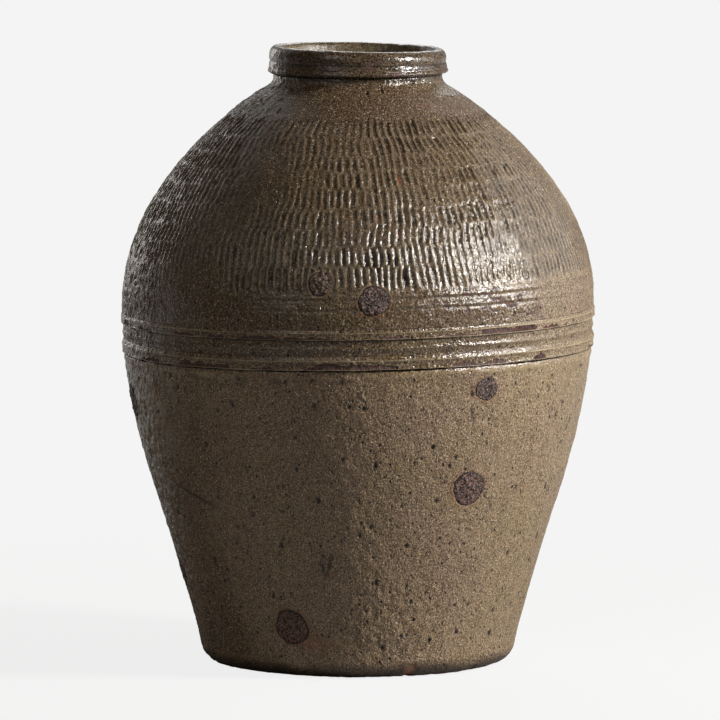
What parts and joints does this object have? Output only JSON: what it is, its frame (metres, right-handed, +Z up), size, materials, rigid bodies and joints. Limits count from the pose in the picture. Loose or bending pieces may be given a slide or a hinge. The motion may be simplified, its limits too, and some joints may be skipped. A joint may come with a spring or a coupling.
{
  "type": "storage jar",
  "caption": "Tall wide-shouldered glazed stoneware storage jar with a short neck, a rolled rim, two flat cordons round the girth and round kiln scars.",
  "frame": {"origin": "middle of the flat underside that the jar stands on", "axes": "+Z up along the jar's axis, -Y towards the viewer of the reference picture, +X to that viewer's right"},
  "size_m": [0.3802, 0.3802, 0.495],
  "materials": {
    "ash_glaze": "thin brown-olive ash glaze, satin with glossy runs, pitted and speckled",
    "rim_glaze": "darker glossier glaze, worn through to purple-brown clay at the edges",
    "bare_clay": "dry reddish-brown stoneware clay",
    "wad_scar": "rough purple-brown clay left by a kiln wad, flecked with orange"
  },
  "bodies": {
    "root": {"floor_slab": "bare_clay", "lower_wall": "ash_glaze", "shoulder_wall": "ash_glaze", "girth_cordon_lower": "ash_glaze", "girth_cordon_upper": "ash_glaze", "neck_ring": "ash_glaze", "rolled_rim": "rim_glaze", "kiln_scar_1": "wad_scar", "kiln_scar_2": "wad_scar", "kiln_scar_3": "wad_scar", "kiln_scar_4": "wad_scar", "kiln_scar_5": "wad_scar", "kiln_scar_6": "wad_scar", "kiln_scar_7": "wad_scar", "kiln_scar_8": "wad_scar", "kiln_scar_9": "wad_scar", "kiln_scar_10": "wad_scar"}
  },
  "joints": []
}
